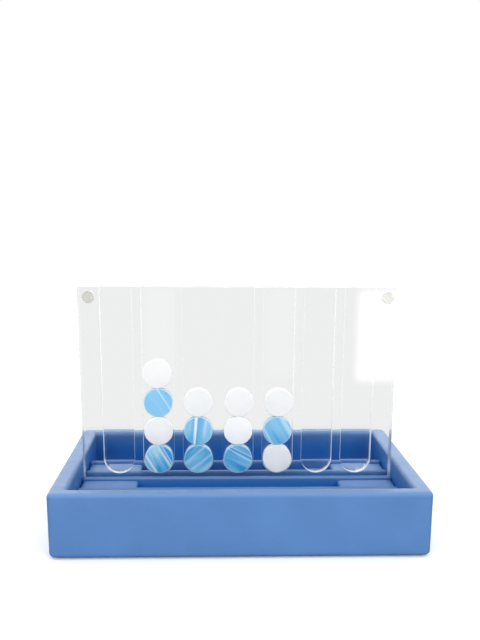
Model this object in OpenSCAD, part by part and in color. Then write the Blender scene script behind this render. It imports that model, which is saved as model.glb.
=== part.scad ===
// Four-in-a-row drop-disc game. A clear board with seven open-topped slots stands in a groove
// in a leatherette tray. The tray has a disc channel on each side of the board.
// Origin: centre of the tray's underside, on the table.
// X runs left to right, Y runs front to back, Z runs up.

/* [Tray] */
// Outside width of the tray, left to right
tray_w = 341; // [339:1:360]
// Outside depth of the tray, front to back
tray_d = 240; // [225:1:270]
// Height of the rim above the table
tray_h = 61; // [56:1:75]
// Thickness of each tray wall with its wrap
wall_t = 16; // [13:0.5:16]
// Radius on the rim, the upright corners and the lower edge
edge_r = 4; // [2.5:0.5:5]
// Thickness of the leatherette wrap
wrap_t = 1; // [0.6:0.1:1.2]
// Thickness of the felt under the tray
felt_t = 1.5; // [1:0.5:2]
// Thickness of the floor panel inside the tray
floor_t = 9; // [6:0.5:10]
// Thickness of the lining laid on the floor panel
lining_t = 1.5; // [1:0.5:1.5]

/* [Channels] */
// Height of the four rails' tops above the table
rail_top = 44; // [38:0.5:46]
// Thickness of each rail
rail_t = 6.6; // [5:0.2:8]
// Radius along the top edges of the rails
rail_r = 2; // [1:0.5:2.4]
// Gap between each rail's end and the tray wall
rail_end_gap = 0.5; // [0.5:0.5:3]
// Width of each disc channel, between its two rails
channel_w = 29.4; // [29:0.2:34]
// Length of each disc channel, between its two end pads
channel_len = 197; // [190:1:220]
// How far the end pads sit below the rail tops
pad_drop = 2; // [1:0.5:4]
// Gap between an end pad and the rails beside it
pad_gap = 0.4; // [0.2:0.1:0.8]
// Gap between an end pad and the tray wall
pad_end_gap = 1; // [1:0.5:4]
// Radius on the edges of the end pads
pad_r = 3.5; // [2:0.5:5]

/* [Board] */
// Width of the clear board
board_w = 307; // [300:1:307]
// Height of the clear board
board_h = 205; // [198:1:206]
// Height of the board's lower edge above the table
board_z = 26; // [20:1:30]
// Thickness of the rear block that the slots are cut in
block_t = 16; // [14:0.5:16]
// Thickness of the front plate
plate_t = 3.8; // [3.6:0.1:4]
// Air gap between the block and the plate
plate_gap = 0.2; // [0.1:0.05:0.3]
// Clearance between the board and the rail on each side
groove_gap = 0.7; // [0.4:0.1:1]
// Width of each slot
slot_w = 30.6; // [30.4:0.2:32]
// Distance from one slot's centre to the next
slot_pitch = 39.35; // [38:0.05:39.8]
// Depth of each slot, cut from the block's front face
slot_depth = 9.6; // [9.4:0.1:10]
// Height of the slots' lowest point above the board's lower edge
slot_floor = 19.8; // [19.8:0.2:24]

/* [Discs] */
// Diameter of a disc
disc_d = 28.5; // [27:0.1:28.5]
// Thickness of a disc
disc_t = 9; // [7:0.1:9]
// Width of the bevel on a disc's edges
disc_bevel = 0.5; // [0.2:0.1:1]
// Gap left under each disc where it rests
stack_gap = 0.2; // [0.2:0.05:0.4]
// Sideways play taken up by a disc that leans on a slot wall
disc_play = 0.75; // [0:0.05:0.75]

/* [Magnets] */
// Diameter of each corner magnet
magnet_d = 11.5; // [9:0.5:12]
// Thickness of the magnets in the front plate
plate_magnet_t = 2.6; // [2:0.1:3]
// Thickness of the magnets in the rear block
block_magnet_t = 6; // [3:0.5:8]
// Distance of each magnet's centre from the board's side edge, and of the top ones from its top edge
magnet_inset = 10; // [9:0.5:11]
// Height of the low magnets' centres above the board's lower edge
low_magnet_rise = 7; // [7:0.5:11]

/* [Quality] */
// Facets in a full circle
smooth = 96; // [48:8:128]

/* [Hidden] */

$fn = smooth;

// Small overrun that keeps a cut from ending flush with a face
over = 1;
// Glue line between the wrap and the cores under it
glue = 0.05;
// Clearance around a magnet in its pocket
magnet_fit = 0.05;
// How far the felt stops short of the tray's outline
felt_inset = 6;
slots = 7;

inner_w = tray_w - 2 * wall_t;
inner_d = tray_d - 2 * wall_t;
panel_top = felt_t + floor_t;
floor_top = panel_top + lining_t;

board_t = block_t + plate_gap + plate_t;
block_front = board_t / 2 - block_t;
plate_front = -board_t / 2;
board_top = board_z + board_h;

groove_half = board_t / 2 + groove_gap;
inner_rail_y = groove_half + rail_t / 2;
outer_rail_y = groove_half + rail_t + channel_w + rail_t / 2;
channel_y = groove_half + rail_t + channel_w / 2;
rail_len = inner_w - 2 * rail_end_gap;
rail_h = rail_top - floor_top;

pad_len = (inner_w - channel_len) / 2 - pad_end_gap;
pad_x = channel_len / 2 + pad_len / 2;
pad_h = rail_h - pad_drop;

slot_r = slot_w / 2;
slot_z = board_z + slot_floor;
disc_y = block_front + slot_depth / 2;
disc_step = disc_d + stack_gap;

magnet_x = board_w / 2 - magnet_inset;
magnet_high = board_top - magnet_inset;
magnet_low = board_z + low_magnet_rise;

wrap_colour = [0.35, 0.55, 0.80];
lining_colour = [0.25, 0.42, 0.66];
felt_colour = [0.12, 0.17, 0.26];
fibreboard_colour = [0.62, 0.50, 0.36];
acrylic_colour = [0.86, 0.91, 0.94, 0.35];
magnet_colour = [0.78, 0.78, 0.76];
blue_colour = [0.36, 0.66, 0.86];
white_colour = [0.93, 0.93, 0.94];

// ---- Shared shapes ----

// Rectangle centred on the origin, with rounded corners
module rounded_rect(w, d, r) {
    square([w - 2 * r, d], center = true);
    square([w, d - 2 * r], center = true);
    for (x = [-1, 1], y = [-1, 1])
        translate([x * (w / 2 - r), y * (d / 2 - r)])
            circle(r);
}

// Upright section with a flat foot on the X axis and two rounded top corners
module arched_section(w, h, r) {
    translate([-w / 2, 0])
        square([w, h - r]);
    translate([r - w / 2, 0])
        square([w - 2 * r, h]);
    for (x = [-1, 1])
        translate([x * (w / 2 - r), h - r])
            circle(r);
}

// Bar along X on the XY plane, with rounded top edges
module arched_bar(len, w, h, r) {
    rotate([90, 0, 90])
        linear_extrude(len, center = true)
            arched_section(w, h, r);
}

// Block on the XY plane with rounded upright edges and rounded top edges
module soft_block(w, d, h, r) {
    intersection() {
        linear_extrude(h)
            rounded_rect(w, d, r);
        arched_bar(w, d, h, r);
        rotate([0, 0, 90])
            arched_bar(d, w, h, r);
    }
}

// Bar along X, centred on the origin, with all four long edges rounded
module round_bar(len, w, h, r) {
    rotate([90, 0, 90])
        linear_extrude(len, center = true)
            rounded_rect(w, h, r);
}

// Block centred on the origin with every edge rounded
module round_block(w, d, h, r) {
    intersection() {
        linear_extrude(h, center = true)
            rounded_rect(w, d, r);
        round_bar(w, d, h, r);
        rotate([0, 0, 90])
            round_bar(d, w, h, r);
    }
}

// The four walls as one ring, with every face set in by the same amount
module wall_ring(inset) {
    t = wall_t - 2 * inset;
    h = tray_h - felt_t - 2 * inset;
    r = edge_r - inset;
    intersection() {
        translate([0, 0, felt_t + inset])
            for (s = [-1, 1]) {
                translate([0, s * (tray_d - wall_t) / 2, 0])
                    arched_bar(tray_w, t, h, r);
                translate([s * (tray_w - wall_t) / 2, 0, 0])
                    rotate([0, 0, 90])
                        arched_bar(tray_d, t, h, r);
            }
        translate([0, 0, (tray_h + felt_t) / 2])
            round_block(tray_w - 2 * inset, tray_d - 2 * inset, h, r);
    }
}

// Stiff core of the front wall (side -1) or back wall (side 1), full width
module long_core(side) {
    inset = wrap_t + glue;
    face = inner_d / 2 + inset;
    intersection() {
        wall_ring(inset);
        translate([-tray_w / 2, side > 0 ? face : -tray_d / 2, 0])
            cube([tray_w, tray_d / 2 - face, tray_h]);
    }
}

// Stiff core of the left wall (side -1) or right wall (side 1), butted between the long cores
module short_core(side) {
    inset = wrap_t + glue;
    face = inner_w / 2 + inset;
    len = inner_d + 2 * inset;
    intersection() {
        wall_ring(inset);
        translate([side > 0 ? face : -tray_w / 2, -len / 2, 0])
            cube([tray_w / 2 - face, len, tray_h]);
    }
}

// Rail along X on the tray lining
module rail(y) {
    translate([0, y, floor_top])
        arched_bar(rail_len, rail_t, rail_h, rail_r);
}

// Raised pad that closes one end of a channel
module end_pad(x_side, y_side) {
    translate([x_side * pad_x, y_side * channel_y, floor_top])
        soft_block(pad_len, channel_w - 2 * pad_gap, pad_h, pad_r);
}

// Round magnet whose axis runs along Y, from its front face backwards
module magnet(x, y, z, t) {
    translate([x, y, z])
        rotate([-90, 0, 0])
            cylinder(h = t, d = magnet_d);
}

// Pocket for a magnet, open at y and running back by depth
module magnet_pocket(x, y, z, depth) {
    translate([x, y, z])
        rotate([-90, 0, 0])
            cylinder(h = depth, d = magnet_d + 2 * magnet_fit);
}

module block_magnet(x_side, z) {
    magnet(x_side * magnet_x, block_front, z, block_magnet_t);
}

module plate_magnet(x_side, z) {
    magnet(x_side * magnet_x, plate_front + plate_t - plate_magnet_t, z, plate_magnet_t);
}

// Slot with a round foot, open at the board's top edge
module slot_cut(column) {
    x = (column - (slots + 1) / 2) * slot_pitch;
    translate([x, block_front + slot_depth, slot_z + slot_r])
        rotate([90, 0, 0])
            linear_extrude(slot_depth + over) {
                circle(slot_r);
                translate([-slot_r, 0])
                    square([slot_w, board_h]);
            }
}

// Disc standing in a slot. Row 1 is the lowest. Play moves it sideways.
module disc(column, row, play = 0) {
    x = (column - (slots + 1) / 2) * slot_pitch + play;
    z = slot_z + stack_gap + disc_d / 2 + (row - 1) * disc_step;
    translate([x, disc_y, z])
        rotate([90, 0, 0])
            rotate_extrude()
                polygon([
                    [0, -disc_t / 2],
                    [disc_d / 2 - disc_bevel, -disc_t / 2],
                    [disc_d / 2, disc_bevel - disc_t / 2],
                    [disc_d / 2, disc_t / 2 - disc_bevel],
                    [disc_d / 2 - disc_bevel, disc_t / 2],
                    [0, disc_t / 2]
                ]);
}

// ---- Tray ----

// Felt sheet the tray stands on
module base_felt() {
    color(felt_colour)
        translate([felt_inset - tray_w / 2, felt_inset - tray_d / 2, 0])
            cube([tray_w - 2 * felt_inset, tray_d - 2 * felt_inset, felt_t]);
}

// Fibreboard floor between the wall cores
module floor_panel() {
    w = inner_w + 2 * wrap_t;
    d = inner_d + 2 * wrap_t;
    color(fibreboard_colour)
        translate([-w / 2, -d / 2, felt_t])
            cube([w, d, floor_t]);
}

module front_wall_core() {
    color(fibreboard_colour)
        long_core(-1);
}

module back_wall_core() {
    color(fibreboard_colour)
        long_core(1);
}

module left_wall_core() {
    color(fibreboard_colour)
        short_core(-1);
}

module right_wall_core() {
    color(fibreboard_colour)
        short_core(1);
}

// Leatherette sheet over the outside, the rim and the inside of all four walls
module tray_wrap() {
    w = inner_w + 2 * wrap_t + 2 * glue;
    d = inner_d + 2 * wrap_t + 2 * glue;
    color(wrap_colour)
        difference() {
            wall_ring(0);
            wall_ring(wrap_t);
            translate([-w / 2, -d / 2, 0])
                cube([w, d, panel_top]);
        }
}

// Lining sheet on the floor panel
module floor_lining() {
    color(lining_colour)
        translate([-inner_w / 2, -inner_d / 2, panel_top])
            cube([inner_w, inner_d, lining_t]);
}

module front_outer_rail() {
    color(wrap_colour)
        rail(-outer_rail_y);
}

module front_inner_rail() {
    color(wrap_colour)
        rail(-inner_rail_y);
}

module back_inner_rail() {
    color(wrap_colour)
        rail(inner_rail_y);
}

module back_outer_rail() {
    color(wrap_colour)
        rail(outer_rail_y);
}

module front_left_pad() {
    color(wrap_colour)
        end_pad(-1, -1);
}

module front_right_pad() {
    color(wrap_colour)
        end_pad(1, -1);
}

module back_left_pad() {
    color(wrap_colour)
        end_pad(-1, 1);
}

module back_right_pad() {
    color(wrap_colour)
        end_pad(1, 1);
}

// Strip at the bottom of the groove that the board stands on
module board_rest() {
    color(lining_colour)
        translate([-rail_len / 2, -groove_half, floor_top])
            cube([rail_len, 2 * groove_half, board_z - floor_top]);
}

// ---- Board ----

// Clear block with the seven slots and four magnet pockets
module rear_block() {
    color(acrylic_colour)
        difference() {
            translate([-board_w / 2, block_front, board_z])
                cube([board_w, block_t, board_h]);
            for (column = [1:slots])
                slot_cut(column);
            for (x = [-magnet_x, magnet_x], z = [magnet_low, magnet_high])
                magnet_pocket(x, block_front - over, z, block_magnet_t + over);
        }
}

// Clear plate that closes the slots, held by four magnets let into its rear face
module front_plate() {
    depth = plate_magnet_t;
    color(acrylic_colour)
        difference() {
            translate([-board_w / 2, plate_front, board_z])
                cube([board_w, plate_t, board_h]);
            for (x = [-magnet_x, magnet_x], z = [magnet_low, magnet_high])
                magnet_pocket(x, plate_front + plate_t - depth, z, depth + over);
        }
}

module block_magnet_top_left() {
    color(magnet_colour)
        block_magnet(-1, magnet_high);
}

module block_magnet_top_right() {
    color(magnet_colour)
        block_magnet(1, magnet_high);
}

module block_magnet_low_left() {
    color(magnet_colour)
        block_magnet(-1, magnet_low);
}

module block_magnet_low_right() {
    color(magnet_colour)
        block_magnet(1, magnet_low);
}

module plate_magnet_top_left() {
    color(magnet_colour)
        plate_magnet(-1, magnet_high);
}

module plate_magnet_top_right() {
    color(magnet_colour)
        plate_magnet(1, magnet_high);
}

module plate_magnet_low_left() {
    color(magnet_colour)
        plate_magnet(-1, magnet_low);
}

module plate_magnet_low_right() {
    color(magnet_colour)
        plate_magnet(1, magnet_low);
}

// ---- Discs ----

module blue_disc_1() {
    color(blue_colour)
        disc(2, 1);
}

module blue_disc_2() {
    color(blue_colour)
        disc(2, 3);
}

module blue_disc_3() {
    color(blue_colour)
        disc(3, 1);
}

module blue_disc_4() {
    color(blue_colour)
        disc(3, 2);
}

module blue_disc_5() {
    color(blue_colour)
        disc(4, 1);
}

module blue_disc_6() {
    color(blue_colour)
        disc(5, 2);
}

module white_disc_1() {
    color(white_colour)
        disc(2, 2);
}

module white_disc_2() {
    color(white_colour)
        disc(2, 4, -disc_play);
}

module white_disc_3() {
    color(white_colour)
        disc(3, 3, -disc_play / 2);
}

module white_disc_4() {
    color(white_colour)
        disc(4, 2);
}

module white_disc_5() {
    color(white_colour)
        disc(4, 3, disc_play);
}

module white_disc_6() {
    color(white_colour)
        disc(5, 1);
}

module white_disc_7() {
    color(white_colour)
        disc(5, 3, disc_play);
}

base_felt();
floor_panel();
front_wall_core();
back_wall_core();
left_wall_core();
right_wall_core();
tray_wrap();
floor_lining();
front_outer_rail();
front_inner_rail();
back_inner_rail();
back_outer_rail();
front_left_pad();
front_right_pad();
back_left_pad();
back_right_pad();
board_rest();
rear_block();
front_plate();
block_magnet_top_left();
block_magnet_top_right();
block_magnet_low_left();
block_magnet_low_right();
plate_magnet_top_left();
plate_magnet_top_right();
plate_magnet_low_left();
plate_magnet_low_right();
blue_disc_1();
blue_disc_2();
blue_disc_3();
blue_disc_4();
blue_disc_5();
blue_disc_6();
white_disc_1();
white_disc_2();
white_disc_3();
white_disc_4();
white_disc_5();
white_disc_6();
white_disc_7();
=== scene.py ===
"""The looks of a clear four-in-a-row game that stands in a leatherette tray."""

import math

import bpy
import numpy as np
from mathutils import Matrix, Vector, noise


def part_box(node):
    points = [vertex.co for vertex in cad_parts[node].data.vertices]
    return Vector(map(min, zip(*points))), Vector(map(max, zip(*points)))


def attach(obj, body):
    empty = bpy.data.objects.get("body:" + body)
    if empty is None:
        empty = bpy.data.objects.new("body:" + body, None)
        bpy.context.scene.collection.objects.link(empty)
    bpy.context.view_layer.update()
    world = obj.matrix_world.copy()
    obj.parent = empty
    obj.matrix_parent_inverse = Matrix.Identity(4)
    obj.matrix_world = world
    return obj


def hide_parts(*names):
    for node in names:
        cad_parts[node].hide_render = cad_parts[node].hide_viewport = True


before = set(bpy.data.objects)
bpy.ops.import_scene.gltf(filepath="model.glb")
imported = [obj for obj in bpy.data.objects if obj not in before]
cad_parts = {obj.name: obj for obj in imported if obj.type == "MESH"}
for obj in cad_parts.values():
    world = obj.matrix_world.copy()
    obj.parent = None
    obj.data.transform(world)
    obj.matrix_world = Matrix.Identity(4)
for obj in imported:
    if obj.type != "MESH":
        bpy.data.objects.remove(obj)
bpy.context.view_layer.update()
scene = bpy.context.scene

MM = 0.001
# Painted shade: leatherette down inside the tray is drawn a deeper blue, standing in for the shade and the
# blue light thrown between its walls. On a bar that begins this far below its top, on the inside of the wall
# at this height, and it grows over that distance.
BAR_SHADE_DROP, BAR_SHADE_FADE = 0.9 * MM, 3 * MM
WALL_SHADE_FROM, WALL_SHADE_FADE = 57 * MM, 14 * MM
WEAR_SPREAD = 1.6  # how far the worn, paler look reaches from the middle of a bend

# ---------------------------------------------------------------- mesh tools


def mesh_object(name, points, faces, floats):
    """A smooth-shaded mesh object in the shared frame, with its named point values."""
    mesh = bpy.data.meshes.new(name)
    mesh.from_pydata([tuple(p) for p in points], [], faces)
    mesh.validate()
    mesh.shade_smooth()
    for key, values in floats.items():
        attribute = mesh.attributes.new(key, "FLOAT", "POINT")
        attribute.data.foreach_set("value", np.asarray(values, np.float32))
    obj = bpy.data.objects.new(name, mesh)
    scene.collection.objects.link(obj)
    return obj


def waves(points, size, seed):
    """Smooth noise from -1 to 1 at each point, with features of that size."""
    shift = Vector((seed * 3.17, seed * 1.73, seed * 5.31))
    return np.array([noise.noise(Vector(p) / size + shift) for p in points])


def stations(low, high, r, step, arc=4):
    """Places along one side of a rounded box, close together in its rounded ends."""
    bend = [r * (1 - math.tan(math.pi / 4 * (arc - i) / arc)) for i in range(arc)]
    count = max(2, int(round((high - low - 2 * r) / step)) + 1)
    flat = list(np.linspace(low + r, high - r, count))
    return np.array([low + b for b in bend] + flat + [high - b for b in reversed(bend)])


def soft_box(name, low, high, r, step, shape):
    """A closed box with round edges whose surface is a fine grid; shape moves its points."""
    axes = [stations(low[i], high[i], r, step[i]) for i in range(3)]
    counts = [len(a) for a in axes]
    index, grid, faces = {}, [], []

    def corner(*ijk):
        if ijk not in index:
            index[ijk] = len(grid)
            grid.append([axes[a][ijk[a]] for a in range(3)])
        return index[ijk]

    for axis in range(3):
        u, v = (axis + 1) % 3, (axis + 2) % 3
        for end in (0, counts[axis] - 1):
            for i in range(counts[u] - 1):
                for j in range(counts[v] - 1):
                    quad = []
                    for di, dj in ((0, 0), (1, 0), (1, 1), (0, 1)):
                        at = [0, 0, 0]
                        at[axis], at[u], at[v] = end, i + di, j + dj
                        quad.append(corner(*at))
                    faces.append(quad if end else quad[::-1])
    cube = np.array(grid)
    inner_low, inner_high = np.array(low) + r, np.array(high) - r
    core = np.clip(cube, inner_low, inner_high)
    away = cube - core
    normal = away / np.linalg.norm(away, axis=1)[:, None]
    points = shape(core + normal * r, normal)
    bends = np.clip(np.sort(np.abs(normal), axis=1)[:, 1] * WEAR_SPREAD, 0, 1)
    # painted shade on the bar: how much of the deeper inside blue it gets, growing down from its top
    inside_shade = np.clip((high[2] - BAR_SHADE_DROP - points[:, 2]) / BAR_SHADE_FADE, 0, 1)
    return mesh_object(name, points, faces, {"edge": bends, "inside_shade": inside_shade})


def wobble(points, normal, seed, coarse, fine):
    """Leatherette never lies quite flat: push each point along its normal a little."""
    push = coarse * waves(points, 30 * MM, seed) + fine * waves(points, 9 * MM, seed + 1)
    return points + normal * push[:, None]


# ------------------------------------------------------------ material tools


class Look:
    """One material being built: its node tree, its shader and its object coordinates."""

    def __init__(self, name):
        self.material = bpy.data.materials.new(name)
        self.material.use_nodes = True
        self.tree = self.material.node_tree
        self.tree.nodes.clear()
        self.output = self.add("ShaderNodeOutputMaterial")
        self.shader = self.add("ShaderNodeBsdfPrincipled")
        self.link(self.shader.outputs["BSDF"], self.output.inputs["Surface"])
        self.place = self.add("ShaderNodeTexCoord").outputs["Object"]

    def add(self, kind, **settings):
        node = self.tree.nodes.new(kind)
        for key, value in settings.items():
            setattr(node, key, value)
        return node

    def link(self, source, target):
        self.tree.links.new(source, target)

    def put(self, **values):
        for key, value in values.items():
            socket = self.shader.inputs[key.replace("_", " ")]
            if isinstance(value, bpy.types.NodeSocket):
                self.link(value, socket)
            else:
                socket.default_value = value

    def mapped(self, scale=(1, 1, 1), turn=(0, 0, 0), move=(0, 0, 0), source=None):
        """The object coordinates moved, turned and then scaled."""
        first = self.add("ShaderNodeMapping", vector_type="POINT")
        first.inputs["Location"].default_value = move
        self.link(source or self.place, first.inputs["Vector"])
        second = self.add("ShaderNodeMapping", vector_type="POINT")
        second.inputs["Rotation"].default_value = turn
        self.link(first.outputs["Vector"], second.inputs["Vector"])
        third = self.add("ShaderNodeMapping", vector_type="POINT")
        third.inputs["Scale"].default_value = scale
        self.link(second.outputs["Vector"], third.inputs["Vector"])
        return third.outputs["Vector"]

    def noise(self, scale, detail=3.0, rough=0.5, warp=0.0, source=None):
        node = self.add("ShaderNodeTexNoise")
        node.inputs["Scale"].default_value = scale
        node.inputs["Detail"].default_value = detail
        node.inputs["Roughness"].default_value = rough
        node.inputs["Distortion"].default_value = warp
        self.link(source or self.place, node.inputs["Vector"])
        return node.outputs["Fac"]

    def cells(self, scale):
        node = self.add("ShaderNodeTexVoronoi", feature="SMOOTH_F1")
        node.inputs["Scale"].default_value = scale
        self.link(self.place, node.inputs["Vector"])
        return node.outputs["Distance"]

    def split(self, vector):
        """The X, Y and Z of a vector, as sockets by name."""
        node = self.add("ShaderNodeSeparateXYZ")
        self.link(vector, node.inputs[0])
        return node.outputs

    def ramp(self, factor, stops):
        node = self.add("ShaderNodeValToRGB")
        marks = node.color_ramp.elements
        while len(marks) < len(stops):
            marks.new(0.5)
        for mark, (at, colour) in zip(marks, stops):
            mark.position = at
            mark.color = (*colour, 1)
        self.link(factor, node.inputs["Fac"])
        return node.outputs["Color"]

    def spread(self, factor, low, high, start=0.3, end=0.7):
        node = self.add("ShaderNodeMapRange")
        node.inputs["From Min"].default_value = start
        node.inputs["From Max"].default_value = end
        node.inputs["To Min"].default_value = low
        node.inputs["To Max"].default_value = high
        self.link(factor, node.inputs["Value"])
        return node.outputs["Result"]

    def math(self, kind, a, b):
        node = self.add("ShaderNodeMath", operation=kind)
        for socket, value in zip(node.inputs, (a, b)):
            if isinstance(value, bpy.types.NodeSocket):
                self.link(value, socket)
            else:
                socket.default_value = value
        return node.outputs[0]

    def size(self, value):
        """A number without its sign."""
        return self.math("ABSOLUTE", value, 0.0)

    def blend(self, factor, a, b):
        """Colour a mixed towards colour b."""
        node = self.add("ShaderNodeMix", data_type="RGBA")
        for socket, value in zip((node.inputs[0], node.inputs[6], node.inputs[7]), (factor, a, b)):
            if isinstance(value, bpy.types.NodeSocket):
                self.link(value, socket)
            elif isinstance(value, tuple):
                socket.default_value = (*value, 1)
            else:
                socket.default_value = value
        return node.outputs[2]

    def value(self, name):
        """A point value stored on the mesh."""
        return self.add("ShaderNodeAttribute", attribute_name=name).outputs["Fac"]

    def bump(self, height, strength, depth, below=None):
        node = self.add("ShaderNodeBump")
        node.inputs["Strength"].default_value = strength
        node.inputs["Distance"].default_value = depth
        self.link(height, node.inputs["Height"])
        if below is not None:
            self.link(below, node.inputs["Normal"])
        return node.outputs["Normal"]


def shade(colour, share):
    """That share of a colour."""
    return tuple(c * share for c in colour)


def paint(obj, look):
    """Give every part of the object that material."""
    if obj.material_slots:
        for place in obj.material_slots:
            place.material = look.material
    else:
        obj.data.materials.append(look.material)


# ----------------------------------------------------------------- materials

BLUE_HIDE = (0.058, 0.158, 0.372)
# painted shade: the deeper blue that stands in for the shade down inside the tray
SHADED_INSIDE_HIDE = (0.014, 0.128, 0.440)
# painted sheen: the pale colour that upward faces are mixed towards, standing in for light on the tops
TOP_SHEEN_HIDE = (0.52, 0.58, 0.50)
# painted shade: the lining on the tray's floor is drawn a deeper blue than the cover, standing in for the
# shade down there
LINING_SHADED_HIDE = (0.014, 0.108, 0.360)


def leatherette(name, colour, rough, top_sheen=0.0):
    """Embossed leatherette: fine pebble grain, faint mottling, paler worn edges, and upward faces painted
    paler by that much as a painted sheen.
    """
    look = Look(name)
    cloud = look.noise(22.0, detail=4.0, rough=0.6)
    grain = look.noise(650.0, detail=3.0, rough=0.6)
    body = look.ramp(cloud, [(0.25, shade(colour, 0.93)), (0.5, colour), (0.78, shade(colour, 1.09))])
    # painted shade: blend towards the deeper blue where the mesh lies down inside the tray
    body = look.blend(look.value("inside_shade"), body, SHADED_INSIDE_HIDE)
    # painted sheen: faces that look up are made paler
    facing = look.split(look.add("ShaderNodeNewGeometry").outputs["Normal"])
    body = look.blend(look.spread(facing["Z"], 0.0, top_sheen, 0.6, 0.95), body, TOP_SHEEN_HIDE)
    grained = look.blend(look.spread(grain, 0.0, 0.12), body, shade(colour, 0.62))
    worn = tuple(c + 0.16 for c in shade(colour, 0.8))
    tone = look.blend(look.spread(look.value("edge"), 0.0, 0.16, 0.35, 1.0), grained, worn)
    pebbles = look.cells(1150.0)
    creases = look.noise(240.0, detail=5.0, rough=0.7, warp=0.4)
    coarse = look.bump(creases, 0.16, 0.25 * MM)
    folds = look.noise(1.0, detail=2.0, rough=0.6, warp=0.6, source=look.mapped(scale=(34, 34, 260)))
    folded = look.bump(look.spread(folds, 0.0, 1.0, 0.66, 0.74), 0.25, 0.3 * MM, below=coarse)
    normal = look.bump(pebbles, 0.20, 0.12 * MM, below=folded)
    gloss = look.spread(look.noise(90.0, detail=3.0), rough - 0.05, rough + 0.06)
    look.put(Base_Color=tone, Roughness=gloss, Normal=normal)
    look.put(Specular_IOR_Level=0.5, IOR=1.5)
    return look


def felt(name):
    """Dark felt: matted fibres in uneven patches."""
    look = Look(name)
    fibres = look.noise(900.0, detail=6.0, rough=0.75, warp=1.2)
    patches = look.noise(60.0, detail=3.0)
    tone = look.ramp(fibres, [(0.3, (0.006, 0.011, 0.028)), (0.7, (0.020, 0.034, 0.075))])
    tone = look.blend(look.spread(patches, 0.0, 0.35), tone, (0.012, 0.022, 0.05))
    look.put(Base_Color=tone, Roughness=0.95, Normal=look.bump(fibres, 0.6, 0.3 * MM))
    look.put(Sheen_Weight=0.3, Sheen_Roughness=0.5)
    return look


def fibreboard(name):
    """Raw fibreboard: brown flecks and faint bands."""
    look = Look(name)
    flecks = look.noise(1400.0, detail=5.0, rough=0.8, source=look.mapped(scale=(1, 1, 0.3)))
    bands = look.noise(120.0, detail=2.0)
    tone = look.ramp(
        flecks, [(0.3, (0.20, 0.13, 0.07)), (0.55, (0.34, 0.24, 0.14)), (0.8, (0.46, 0.35, 0.22))]
    )
    tone = look.blend(look.spread(bands, 0.0, 0.3), tone, (0.25, 0.17, 0.09))
    look.put(Base_Color=tone, Roughness=0.9, Normal=look.bump(flecks, 0.4, 0.2 * MM))
    return look


def nickel(name, centre):
    """Nickel plate with faint turning rings about the magnet's own axis."""
    look = Look(name)
    here = look.mapped(scale=(1, 0, 1), move=-centre)
    rings = look.add("ShaderNodeTexWave", wave_type="RINGS", rings_direction="SPHERICAL")
    rings.inputs["Scale"].default_value = 600.0
    rings.inputs["Distortion"].default_value = 1.0
    look.link(here, rings.inputs["Vector"])
    smudge = look.noise(130.0, detail=2.0)
    tone = look.ramp(smudge, [(0.3, (0.60, 0.585, 0.53)), (0.7, (0.67, 0.66, 0.61))])
    gloss = look.spread(smudge, 0.22, 0.36)
    look.put(Base_Color=tone, Roughness=gloss, Metallic=0.6)
    look.put(Normal=look.bump(rings.outputs["Fac"], 0.03, 0.05 * MM))
    return look


SLOT_FROST_AND_HIGHLIGHT = 0.56  # how much of a milled slot wall is frosted white: partly the milled frost, partly a painted highlight along the slot's edge
MILLED_DEPTH = 6 * MM  # how far in from the slot's mouth the frosted part, with its painted highlight, reaches
EDGE_FROST_AND_HIGHLIGHT = 0.32  # how much of the board's polished side edges still scatters light: drawn as frost, it is partly a painted highlight along those edges
SLOT_MARGIN = 1.5 * MM  # nothing this close to the board's outline counts as a slot wall
EDGE_BAND = 1.0 * MM  # sideways faces this close to it are the board's side edges
PAINTED_GLOW = 0.16  # painted glow: light that the frosted parts give off though they are no lamp, standing in for the light the board carries inside it


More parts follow.
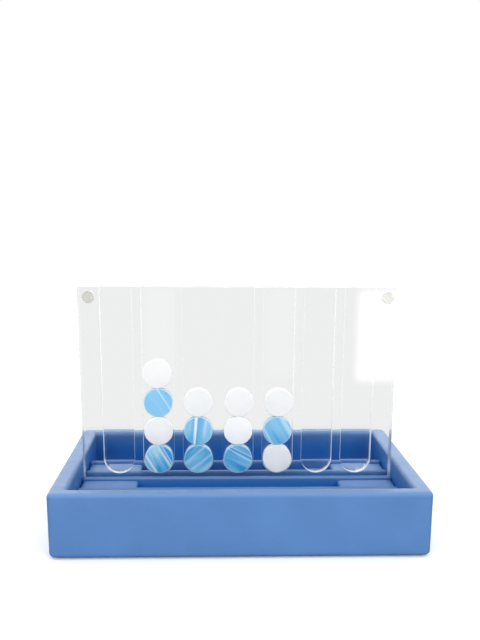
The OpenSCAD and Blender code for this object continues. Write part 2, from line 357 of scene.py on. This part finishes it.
def acrylic(name, tint, low, high):
    """Polished cast acrylic between those corners, with milled, slightly frosted walls near the mouths of its
    slots and frosted side edges; that frost is partly a painted highlight, and it gives off a faint painted
    glow.

    Shadow and diffuse rays pass straight through it, so that the light inside the board is not lost.
    """
    look = Look(name)
    ripple = look.noise(14.0, detail=1.0, rough=0.4)
    look.put(Base_Color=(*tint, 1), Roughness=0.0, IOR=1.49, Transmission_Weight=1.0)
    look.put(Normal=look.bump(ripple, 0.003, 0.1 * MM))
    # the frosted parts' white shader: partly real frost, partly painted highlight
    milled = look.add("ShaderNodeBsdfPrincipled")
    tool_marks = look.noise(500.0, detail=2.0, source=look.mapped(scale=(1, 1, 0.05)))
    frost = look.ramp(tool_marks, [(0.3, (0.84, 0.86, 0.87)), (0.7, (0.97, 0.98, 0.98))])
    look.link(frost, milled.inputs["Base Color"])
    milled.inputs["Roughness"].default_value = 0.35
    # painted glow on the frosted parts
    milled.inputs["Emission Color"].default_value = (0.9, 0.95, 1.0, 1)
    milled.inputs["Emission Strength"].default_value = PAINTED_GLOW
    facing = look.split(look.add("ShaderNodeNewGeometry").outputs["Normal"])
    place = look.split(look.place)
    middle, half = (low + high) / 2, (high - low) / 2
    wall = look.spread(look.size(facing["Y"]), SLOT_FROST_AND_HIGHLIGHT, 0.0, 0.3, 0.6)
    off_x = look.size(look.math("SUBTRACT", place["X"], middle.x))
    off_z = look.size(look.math("SUBTRACT", place["Z"], middle.z))
    wall = look.math("MULTIPLY", wall, look.math("LESS_THAN", off_x, half.x - SLOT_MARGIN))
    wall = look.math("MULTIPLY", wall, look.math("LESS_THAN", off_z, half.z - SLOT_MARGIN))
    wall = look.math("MULTIPLY", wall, look.math("LESS_THAN", place["Y"], low.y + MILLED_DEPTH))
    sideways = look.spread(look.size(facing["X"]), 0.0, EDGE_FROST_AND_HIGHLIGHT, 0.7, 0.9)
    outer = look.math("MULTIPLY", sideways, look.math("GREATER_THAN", off_x, half.x - EDGE_BAND))
    # where the board is frosted: partly real frost, partly painted highlight
    frosted = look.add("ShaderNodeMixShader")
    look.link(look.math("MAXIMUM", wall, outer), frosted.inputs[0])
    look.link(look.shader.outputs["BSDF"], frosted.inputs[1])
    look.link(milled.outputs["BSDF"], frosted.inputs[2])
    path = look.add("ShaderNodeLightPath")
    clear = look.add("ShaderNodeBsdfTransparent")
    clear.inputs["Color"].default_value = (0.97, 0.975, 0.975, 1)
    straight = look.math("MAXIMUM", path.outputs["Is Shadow Ray"], path.outputs["Is Diffuse Ray"])
    mix = look.add("ShaderNodeMixShader")
    look.link(straight, mix.inputs[0])
    look.link(frosted.outputs["Shader"], mix.inputs[1])
    look.link(clear.outputs["BSDF"], mix.inputs[2])
    look.link(mix.outputs["Shader"], look.output.inputs["Surface"])
    return look


DEEP_BLUE = (0.028, 0.265, 0.590)
MID_BLUE = (0.075, 0.365, 0.680)
PALE_BLUE = (0.225, 0.530, 0.760)
PEARL_BLUE = (0.500, 0.730, 0.850)
STREAK_WHITE = (0.760, 0.860, 0.900)
PEARL_RIM = (0.88, 0.88, 0.88)
RIM_FROM, RIM_TO = 13.3 * MM, 13.9 * MM  # from the disc's centre, where its paler rim begins and is full


def paler_rim(look, tone, centre, colour):
    """The polished bevel round a disc catches the light, so its colour is paler there."""
    flat = look.add("ShaderNodeVectorMath", operation="LENGTH")
    look.link(look.mapped(move=-centre, scale=(1, 0, 1)), flat.inputs[0])
    edge = look.spread(flat.outputs["Value"], 0.0, 0.7, RIM_FROM, RIM_TO)
    return look.blend(edge, tone, colour)


def marbled(name, centre, turn, seed, pale, calm, veining, streaks):
    """Blue pearl acetate: bands of white and deeper blue that run one way across the disc.

    Each streak is (place across the bands, half width, strength), in millimetres from the disc's centre.
    """
    look = Look(name)
    home = look.mapped(move=-centre)
    turned = look.mapped(turn=(0, -turn, 0), source=home)
    along = look.mapped(scale=(1.0, 1.0, 0.14), source=turned)
    moved = look.mapped(move=(seed * 0.37, seed * 0.11, seed * 0.23), source=along)
    broad = look.noise(120.0, detail=2.0, rough=0.45, warp=0.35, source=moved)
    fine = look.noise(430.0, detail=2.5, rough=0.5, warp=0.25, source=moved)
    swing = 0.2 * (1 - calm)
    tones = ((0.36, DEEP_BLUE), (0.50, MID_BLUE), (0.64, PALE_BLUE), (0.78, PEARL_BLUE))
    body = look.ramp(look.spread(broad, 0.5 - swing, 0.5 + swing), [(at - pale, tone) for at, tone in tones])
    veins = look.spread(fine, 0.0, veining * 0.7, 0.58, 0.78)
    tone = look.blend(veins, body, STREAK_WHITE)
    sway = look.math("ADD", look.split(turned)["X"], look.spread(broad, -1.2 * MM, 1.2 * MM))
    for place, half, strength in streaks:
        off = look.size(look.math("SUBTRACT", sway, place * MM))
        tone = look.blend(look.spread(off, strength, 0.0, half * 0.1 * MM, half * MM), tone, STREAK_WHITE)
    tone = paler_rim(look, tone, centre, PEARL_BLUE)
    look.put(Base_Color=tone, Roughness=look.spread(broad, 0.16, 0.26), IOR=1.5)
    look.put(Normal=look.bump(fine, 0.05, 0.1 * MM))
    look.put(Coat_Weight=0.35, Coat_Roughness=0.08)
    return look


def pearl(name, centre, turn, seed, dark, level):
    """White pearl acetate: soft clouds of grey and a faint satin streak."""
    look = Look(name)
    home = look.mapped(move=-centre)
    along = look.mapped(scale=(1.0, 1.0, 0.35), turn=(0, turn, 0), source=home)
    moved = look.mapped(move=(seed * 0.31, seed * 0.17, seed * 0.13), source=along)
    cloud = look.noise(120.0, detail=3.0, rough=0.5, warp=0.6, source=moved)
    white = (level, level - 0.005, level - 0.015)
    grey = (level - dark,) * 3
    tone = paler_rim(look, look.ramp(cloud, [(0.34, grey), (0.62, white)]), centre, PEARL_RIM)
    look.put(Base_Color=tone, Roughness=look.spread(cloud, 0.16, 0.26), IOR=1.5)
    look.put(Normal=look.bump(cloud, 0.04, 0.1 * MM))
    look.put(Coat_Weight=0.35, Coat_Roughness=0.08)
    return look


hide = leatherette("leatherette_blue", BLUE_HIDE, 0.42, top_sheen=0.09)
# painted shade: the rails and the board rest stand inside the tray, so they get a darker copy of the cover's
# blue
shaded_rail_hide = leatherette("leatherette_rail", shade(BLUE_HIDE, 0.94), 0.48)
pad_hide = leatherette("leatherette_pad", shade(BLUE_HIDE, 1.1), 0.45, top_sheen=0.025)
lining = leatherette("leatherette_lining", LINING_SHADED_HIDE, 0.55)
felt_look = felt("felt_navy")
board_look = fibreboard("fibreboard_raw")

# --------------------------------------------------------------- the tray

WALL = 16 * MM
EDGE = 4 * MM
UPRIGHT_EDGE = 5.5 * MM
SKIN = 1 * MM
FOOT_END = 14.8 * MM  # how far in under the wall the cover is folded
FOOT_TOP = 20 * MM  # below this height the cover is neither worn nor given the painted shade
LEAST_RADIUS = 0.5 * MM  # of the upright edges, where the cover turns round inside the tray
SIDE_STEPS, CORNER_STEPS = (46, 68), 8  # along the short and the long walls, and round each corner
TRAY_WAVES = (0.16 * MM, 0.05 * MM)  # how far the cover's broad and small waves rise
BAR_WAVES = (0.10 * MM, 0.04 * MM)
SHEET_WAVES = 0.04 * MM


def arc_points(cx, cz, r, start, end, count):
    """Profile points with their outward direction, round part of a circle."""
    out = []
    for i in range(count + 1):
        a = math.radians(start + (end - start) * i / count)
        n = (math.cos(a), math.sin(a))
        out.append((cx + r * n[0], cz + r * n[1], *n))
    return out


def wrap_profile(low_z, high_z, inner_z):
    """(distance in from the outer face, height, direction) from under the wall, over the rim, to inside."""
    r = EDGE
    line = [(FOOT_END - (FOOT_END - r) * i / 4, low_z, 0, -1) for i in range(4)]
    line += arc_points(r, low_z + r, r, 270, 180, 6)
    line += [(0, z, -1, 0) for z in np.linspace(low_z + r, high_z - r, 16)[1:-1]]
    line += arc_points(r, high_z - r, r, 180, 90, 8)
    line += [(d, high_z, 0, 1) for d in np.linspace(r, WALL - r, 5)[1:-1]]
    line += arc_points(WALL - r, high_z - r, r, 90, 0, 8)
    line += [(WALL, z, 1, 0) for z in np.linspace(high_z - r, inner_z, 13)[1:]]
    return line


def ring_station(half_w, half_d, r, side_counts, arc):
    """Points round a rounded rectangle with their outward directions, in the same order for any size."""
    out = []
    corners = [(1, -1, -90), (1, 1, 0), (-1, 1, 90), (-1, -1, 180)]
    for n, (sx, sy, start) in enumerate(corners):
        cx, cy = sx * (half_w - r), sy * (half_d - r)
        for i in range(arc + 1):
            a = math.radians(start + 90 * i / arc)
            out.append((cx + r * math.cos(a), cy + r * math.sin(a), math.cos(a), math.sin(a)))
        nx, ny, _ = corners[(n + 1) % 4]
        end_a = math.radians(start + 90)
        p = np.array([cx + r * math.cos(end_a), cy + r * math.sin(end_a)])
        q = np.array([nx * (half_w - r) + r * math.cos(end_a), ny * (half_d - r) + r * math.sin(end_a)])
        count = side_counts[n % 2]
        for i in range(1, count):
            m = p + (q - p) * i / count
            out.append((m[0], m[1], math.cos(end_a), math.sin(end_a)))
    return out


def tray_cover():
    """The leatherette wrap: two layers of one profile led round the tray, joined at both of its ends."""
    low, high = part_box("tray_wrap")
    centre = (low + high) / 2
    half_w, half_d = (high.x - low.x) / 2, (high.y - low.y) / 2
    inner_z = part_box("floor_lining")[0].z
    line = wrap_profile(low.z, high.z, inner_z)
    points, directions, edges, inside_shade = [], [], [], []
    for layer in (0.0, SKIN):
        for d, z, nd, nz in line:
            inset = d - nd * layer
            height = z - nz * layer
            r = max(UPRIGHT_EDGE - inset, LEAST_RADIUS)
            edge = WEAR_SPREAD * abs(nd * nz) if z > FOOT_TOP else 0
            # painted shade on the inside of the wall, growing downwards
            depth = (WALL_SHADE_FROM - z) / WALL_SHADE_FADE if d > WALL / 2 and z > FOOT_TOP else 0
            for x, y, ox, oy in ring_station(half_w - inset, half_d - inset, r, SIDE_STEPS, CORNER_STEPS):
                points.append((centre.x + x, centre.y + y, height))
                directions.append((-nd * ox, -nd * oy, nz))
                edges.append(edge)
                inside_shade.append(depth)
    count, rows = len(points) // (2 * len(line)), len(line)
    points = wobble(np.array(points), np.array(directions), 2.0, *TRAY_WAVES)
    faces = []
    for j in range(count):
        k = (j + 1) % count
        for i in range(rows - 1):
            a, b = i * count, (i + 1) * count
            faces.append((a + j, b + j, b + k, a + k))
            a, b = a + rows * count, b + rows * count
            faces.append((a + k, b + k, b + j, a + j))
        outer_end, inner_end = (rows - 1) * count, (2 * rows - 1) * count
        faces.append((outer_end + j, inner_end + j, inner_end + k, outer_end + k))
        faces.append((j, k, rows * count + k, rows * count + j))
    values = {"edge": np.clip(edges, 0, 1), "inside_shade": np.clip(inside_shade, 0, 1)}
    return mesh_object("tray_cover", points, faces, values)


cover = tray_cover()
paint(cover, hide)
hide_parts("tray_wrap")
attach(cover, "tray")


def covered_bar(node, look, seed, r, crown, step, pull=0.0):
    """A wrapped bar or pad in the place of a CAD node: crowned top, round edges, sides pulled in a little."""
    low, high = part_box(node)
    middle, half = (low + high) / 2, (high - low) / 2

    def shape(points, normal):
        points = wobble(points, normal, seed, *BAR_WAVES)
        across = (points - np.array(middle)) / np.array(half)
        up = np.clip(across[:, 2], 0, 1) ** 2
        dome = (1 - across[:, 0] ** 4) * (1 - np.abs(across[:, 1]) ** 2.5)
        points[:, 2] += up * (crown * np.clip(dome, 0, 1) - crown * 0.6)
        waist = pull * np.clip(1 - across[:, 2] ** 2, 0, 1)
        for axis, other, side in ((0, 1, 0.9), (1, 0, 0.8)):
            inward = waist * (np.abs(across[:, axis]) > side) * (1 - across[:, other] ** 2)
            points[:, axis] -= np.sign(across[:, axis]) * inward
        points[:, 2] = np.maximum(points[:, 2], low.z)
        return points

    obj = soft_box(node + "_cover", low, high, r, step, shape)
    paint(obj, look)
    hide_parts(node)
    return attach(obj, "tray")


RAILS = ("front_outer_rail", "front_inner_rail", "back_inner_rail", "back_outer_rail")
for number, node in enumerate(RAILS):
    covered_bar(node, shaded_rail_hide, 10.0 + number, 2.0 * MM, 0.15 * MM, (5 * MM, 1.5 * MM, 5 * MM))

PADS = ("front_left_pad", "front_right_pad", "back_left_pad", "back_right_pad")
for number, node in enumerate(PADS):
    step = (3 * MM, 3 * MM, 4 * MM)
    pad = covered_bar(node, pad_hide, 20.0 + number, 3.2 * MM, 1.1 * MM, step, pull=0.5 * MM)


def laid_sheet(node, look, seed, r):
    """A thin cut sheet in the place of a CAD node, very slightly uneven."""
    low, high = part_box(node)

    def shape(points, normal):
        push = (waves(points, 20 * MM, seed) - 1) * SHEET_WAVES * np.abs(normal[:, 2])
        return points + normal * push[:, None]

    obj = soft_box(node + "_sheet", low, high, r, (6 * MM, 6 * MM, 1 * MM), shape)
    paint(obj, look)
    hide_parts(node)
    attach(obj, "tray")
    return obj


laid_sheet("floor_lining", lining, 31.0, 0.4 * MM)
laid_sheet("base_felt", felt_look, 33.0, 0.4 * MM)
for node in ("floor_panel", "front_wall_core", "back_wall_core", "left_wall_core", "right_wall_core"):
    paint(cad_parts[node], board_look)
covered_bar("board_rest", shaded_rail_hide, 41.0, 1.2 * MM, 0.1 * MM, (6 * MM, 2 * MM, 3 * MM))

# -------------------------------------------------------------- the board

CLEAR_TINT = (0.995, 0.998, 0.997)
POLISHED_EDGE, SHARPEST = 0.18 * MM, math.radians(50)  # corners turned by more than that are rounded
POCKET_GAP = 0.06 * MM

for node in ("rear_block", "front_plate"):
    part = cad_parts[node]
    paint(part, acrylic("acrylic_" + node, CLEAR_TINT, *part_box(node)))
    bevel = part.modifiers.new("polished_edge", "BEVEL")
    bevel.width = POLISHED_EDGE
    bevel.segments = 2
    bevel.limit_method = "ANGLE"
    bevel.angle_limit = SHARPEST
    bevel.harden_normals = True

for name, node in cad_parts.items():
    if "magnet" in name:
        low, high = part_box(name)
        paint(node, nickel("nickel_" + name, (low + high) / 2))
        gap = node.modifiers.new("clear_of_its_pocket", "DISPLACE")
        gap.strength = -POCKET_GAP
        gap.mid_level = 0.0

# -------------------------------------------------------------- the discs

# How far its bands lean in degrees, noise seed, paleness, calmness, strength of its veins, its white streaks
BLUE_DISCS = {
    "blue_disc_1": (-28, 1.0, 0.06, 0.1, 0.45, [(-9.0, 1.6, 0.9), (6.5, 0.9, 0.7), (8.6, 0.7, 0.6)]),
    "blue_disc_2": (-32, 2.0, 0.10, 0.75, 0.0, [(6.5, 1.0, 0.5)]),
    "blue_disc_3": (48, 3.0, 0.05, 0.35, 0.2, [(-5.0, 1.6, 0.3), (4.5, 1.8, 0.35)]),
    "blue_disc_4": (6, 4.0, 0.07, 0.35, 0.1, [(-3.6, 1.8, 1.0), (7.0, 2.5, 0.3)]),
    "blue_disc_5": (-62, 5.0, 0.03, 0.25, 0.4, [(4.5, 0.9, 0.6), (8.0, 1.2, 0.5)]),
    "blue_disc_6": (-30, 6.0, 0.07, 0.6, 0.0, [(10.5, 2.6, 0.5), (-11.0, 2.0, 0.4)]),
}
# How far its clouds lean in degrees, noise seed, how much darker they are, how white it is
WHITE_DISCS = {
    "white_disc_1": (20, 1.0, 0.05, 0.84),
    "white_disc_2": (-35, 2.0, 0.02, 0.74),
    "white_disc_3": (10, 3.0, 0.03, 0.79),
    "white_disc_4": (60, 4.0, 0.04, 0.90),
    "white_disc_5": (-15, 5.0, 0.03, 0.80),
    "white_disc_6": (35, 6.0, 0.06, 0.90),
    "white_disc_7": (80, 7.0, 0.03, 0.78),
}
for name, (turn, seed, pale, calm, veining, streaks) in BLUE_DISCS.items():
    low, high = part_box(name)
    middle, lean = (low + high) / 2, math.radians(turn)
    look = marbled("marbled_" + name, middle, lean, seed, pale, calm, veining, streaks)
    paint(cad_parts[name], look)
for name, (turn, seed, dark, level) in WHITE_DISCS.items():
    low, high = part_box(name)
    look = pearl("pearl_" + name, (low + high) / 2, math.radians(turn), seed, dark, level)
    paint(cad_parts[name], look)

# ------------------------------------------------- floor, light and camera


def flat_card(name, corners, shader_kind, **values):
    """A four-cornered stage card with one plain shader."""
    mesh = bpy.data.meshes.new(name)
    mesh.from_pydata(corners, [], [(0, 1, 2, 3)])
    card = bpy.data.objects.new(name, mesh)
    scene.collection.objects.link(card)
    material = bpy.data.materials.new(name)
    material.use_nodes = True
    tree = material.node_tree
    tree.nodes.clear()
    shader = tree.nodes.new(shader_kind)
    for key, value in values.items():
        shader.inputs[key.replace("_", " ")].default_value = value
    out = tree.nodes.new("ShaderNodeOutputMaterial")
    tree.links.new(shader.outputs[0], out.inputs["Surface"])
    mesh.materials.append(material)
    return card


FLOOR_HALF = 6.0
floor = flat_card(
    "studio_floor",
    [(x * FLOOR_HALF, y * FLOOR_HALF, 0) for x, y in ((-1, -1), (1, -1), (1, 1), (-1, 1))],
    "ShaderNodeBsdfPrincipled",
    Base_Color=(0.9, 0.9, 0.9, 1),
    Roughness=0.9,
    Specular_IOR_Level=0.1,
    Emission_Color=(1, 1, 1, 1),
    Emission_Strength=0.08,
)
floor.visible_glossy = False
floor.visible_transmission = False

world = bpy.data.worlds.new("studio")
scene.world = world
world.use_nodes = True
tree = world.node_tree
tree.nodes.clear()


def world_node(kind, **settings):
    node = tree.nodes.new(kind)
    for key, value in settings.items():
        setattr(node, key, value)
    return node


# How bright the white surroundings are, as each kind of ray finds them
SKY = 1.0  # for diffuse light
BACKDROP = 1.0  # seen straight from the camera
BEHIND_CLEAR = 0.89  # the backdrop as seen through the clear board
MIRRORED_LOW, MIRRORED_HIGH = 0.12, 1.9  # mirrored, below the horizon and above it
HORIZON_FROM, HORIZON_TO = -0.02, 0.06  # the upward part of a direction, where the mirrored light rises

path = world_node("ShaderNodeLightPath")
split = world_node("ShaderNodeSeparateXYZ")
tree.links.new(world_node("ShaderNodeTexCoord").outputs["Generated"], split.inputs[0])
rise = world_node("ShaderNodeMapRange", interpolation_type="SMOOTHSTEP")
rise.inputs["From Min"].default_value = HORIZON_FROM
rise.inputs["From Max"].default_value = HORIZON_TO
rise.inputs["To Min"].default_value = MIRRORED_LOW
rise.inputs["To Max"].default_value = MIRRORED_HIGH
tree.links.new(split.outputs["Z"], rise.inputs["Value"])
glossy = world_node("ShaderNodeMix", data_type="FLOAT")
glossy.inputs[2].default_value = SKY
tree.links.new(path.outputs["Is Glossy Ray"], glossy.inputs[0])
tree.links.new(rise.outputs["Result"], glossy.inputs[3])
clear = world_node("ShaderNodeMix", data_type="FLOAT")
tree.links.new(path.outputs["Is Transmission Ray"], clear.inputs[0])
tree.links.new(glossy.outputs[0], clear.inputs[2])
clear.inputs[3].default_value = BEHIND_CLEAR
backdrop = world_node("ShaderNodeMix", data_type="FLOAT")
tree.links.new(path.outputs["Is Camera Ray"], backdrop.inputs[0])
tree.links.new(clear.outputs[0], backdrop.inputs[2])
backdrop.inputs[3].default_value = BACKDROP
background = world_node("ShaderNodeBackground")
background.inputs["Color"].default_value = (1, 1, 1, 1)
tree.links.new(backdrop.outputs[0], background.inputs["Strength"])
tree.links.new(background.outputs[0], world_node("ShaderNodeOutputWorld").inputs["Surface"])


def soft_light(name, place, aim, size, power):
    """A square lamp that lights things but is not itself seen, mirrored or seen through the board."""
    data = bpy.data.lights.new(name, "AREA")
    data.shape = "SQUARE"
    data.size = size
    data.energy = power
    lamp = bpy.data.objects.new(name, data)
    scene.collection.objects.link(lamp)
    lamp.location = place
    lamp.rotation_euler = (Vector(aim) - Vector(place)).to_track_quat("-Z", "Y").to_euler()
    lamp.visible_camera = False
    lamp.visible_glossy = False
    lamp.visible_transmission = False


BOARD_FOOT = (0.0, 0.0, 0.1)
soft_light("overhead", (0.0, 0.1, 1.4), (0.0, 0.1, 0.0), 2.4, 9.0)
soft_light("front_right", (1.25, -1.5, 0.75), BOARD_FOOT, 1.4, 14.5)
soft_light("front_left", (-1.25, -1.5, 0.75), BOARD_FOOT, 1.4, 11.0)

# Bright windows that only shiny surfaces mirror. They stand behind the camera and fade out at their edges.
WINDOW_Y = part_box("front_plate")[0].y - 1.0


def window(name, low_x, high_x, low_z, high_z, strength, fade):
    """A glowing card between those corners that fades in over that distance from each of its edges."""
    outline = ((low_x, low_z), (low_x, high_z), (high_x, high_z), (high_x, low_z))
    card = flat_card(name, [(x, WINDOW_Y, z) for x, z in outline], "ShaderNodeEmission")
    material = card.data.materials[0]
    nodes, links = material.node_tree.nodes, material.node_tree.links
    place = nodes.new("ShaderNodeSeparateXYZ")
    links.new(nodes.new("ShaderNodeTexCoord").outputs["Object"], place.inputs[0])
    light = None
    for axis, start, end in (
        ("X", low_x, low_x + fade),
        ("X", high_x, high_x - fade),
        ("Z", low_z, low_z + fade),
        ("Z", high_z, high_z - fade),
    ):
        ease = nodes.new("ShaderNodeMapRange")
        ease.interpolation_type = "SMOOTHSTEP"
        ease.inputs["From Min"].default_value = start
        ease.inputs["From Max"].default_value = end
        ease.inputs["To Max"].default_value = strength if light is None else 1.0
        links.new(place.outputs[axis], ease.inputs["Value"])
        if light is None:
            light = ease.outputs["Result"]
            continue
        both = nodes.new("ShaderNodeMath")
        both.operation = "MULTIPLY"
        links.new(light, both.inputs[0])
        links.new(ease.outputs["Result"], both.inputs[1])
        light = both.outputs[0]
    emission = next(n for n in nodes if n.type == "EMISSION")
    links.new(light, emission.inputs["Strength"])
    card.visible_camera = False
    card.visible_diffuse = False
    card.visible_transmission = False
    card.visible_shadow = False
    material.cycles.emission_sampling = "NONE"


window("studio_window", 0.272, 0.43, -0.066, 0.158, 5.5, 0.03)
window("studio_band_left", -0.19, -0.085, -0.06, 0.17, 0.8, 0.04)
window("studio_band_right", 0.07, 0.175, -0.06, 0.17, 0.7, 0.04)

# The camera: where it stands, how it is turned, its lens on a 36 mm sensor and how far that is shifted
STAND = Vector((-0.026264, -0.837051, 0.298995))
YAW, PITCH, ROLL = 0.039822, 0.235054, 0.007559
SENSOR, LENS = 36.0, 48.4627
SHIFT_X, SHIFT_Y = -0.00770625, 0.1565625

camera_data = bpy.data.cameras.new("camera")
camera = bpy.data.objects.new("camera", camera_data)
scene.collection.objects.link(camera)
scene.camera = camera
camera_data.sensor_width = SENSOR
camera_data.lens = LENS
camera_data.shift_x = SHIFT_X
camera_data.shift_y = SHIFT_Y
ahead = Vector((math.sin(YAW) * math.cos(PITCH), math.cos(YAW) * math.cos(PITCH), -math.sin(PITCH)))
side = Vector((math.cos(YAW), -math.sin(YAW), 0))
up = side.cross(ahead)
side, up = side * math.cos(ROLL) + up * math.sin(ROLL), up * math.cos(ROLL) - side * math.sin(ROLL)
turned = Matrix((side, up, -ahead)).transposed()
camera.matrix_world = Matrix.Translation(STAND) @ turned.to_4x4()

scene.view_settings.view_transform = "Standard"
# Light is turned many times inside the clear board before it comes out
scene.cycles.max_bounces = 32
scene.cycles.glossy_bounces = 24
scene.cycles.transmission_bounces = 32
